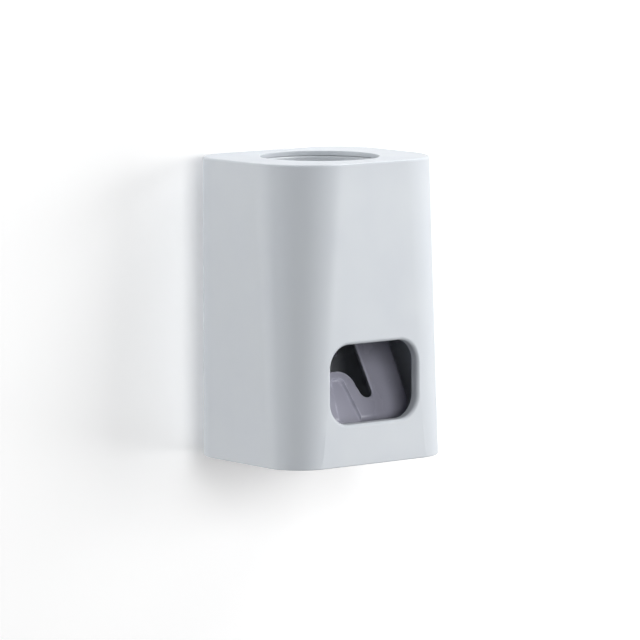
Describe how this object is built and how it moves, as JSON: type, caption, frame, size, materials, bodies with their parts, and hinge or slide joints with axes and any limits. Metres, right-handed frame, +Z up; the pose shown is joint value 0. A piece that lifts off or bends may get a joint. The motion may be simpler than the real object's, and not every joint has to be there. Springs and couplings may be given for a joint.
{
  "type": "toothpaste dispenser",
  "caption": "Wall-hung dispenser with a rounded upright housing, a round tube hole on top and a window in front whose push lever squeezes a pump.",
  "frame": {"origin": "centre of the adhesive pad's back face, which lies on the wall", "axes": "+Z up, +Y into the wall, -Y out of the window, X across the front"},
  "size_m": [0.076, 0.0648, 0.11],
  "materials": {
    "housing_plastic": "satin",
    "lever_plastic": "satin",
    "inner_plastic": "fine matt",
    "roller_plastic": "smooth",
    "silicone": "milky",
    "adhesive_foam": "foam",
    "stop_rubber": "matt",
    "steel": "plain"
  },
  "bodies": {
    "wall_mount": {"wall_plate": "housing_plastic", "adhesive_pad": "adhesive_foam"},
    "housing": {"outer_shell": "housing_plastic", "rear_cover": "housing_plastic", "rear_cover_screws": "steel", "bottom_cover": "inner_plastic", "tube_guide": "inner_plastic", "core_frame": "inner_plastic", "neck_seal": "silicone", "seal_ring": "inner_plastic", "valve_seat": "inner_plastic", "inlet_valve": "silicone", "sleeve_clamp": "inner_plastic", "pump_sleeve": "silicone", "nozzle": "inner_plastic", "nozzle_retainer": "inner_plastic", "outlet_valve": "silicone", "nozzle_cap": "inner_plastic", "pivot_pins": "steel", "return_springs": "steel", "stop_pads": "stop_rubber"},
    "lever": {"push_lever": "lever_plastic", "roller_pin": "steel"},
    "roller": {"press_roller": "roller_plastic"}
  },
  "joints": [
    {"name": "lift_off", "type": "slide", "parent": "wall_mount", "child": "housing", "axis": [0, 0, 1], "range_m": [0, 0.08]},
    {"name": "lever_swing", "type": "hinge", "parent": "housing", "child": "lever", "pos_m": [0, -0.0408, 0.017], "axis": [1, 0, 0], "range_deg": [0, 14], "stiffness_Nm_per_rad": 0.25, "springref_deg": -20.05, "deforming": ["pump_sleeve", "return_springs"]},
    {"name": "roller_spin", "type": "hinge", "parent": "lever", "child": "roller", "pos_m": [0, -0.0471, 0.002], "axis": [1, 0, 0], "continuous": true}
  ]
}
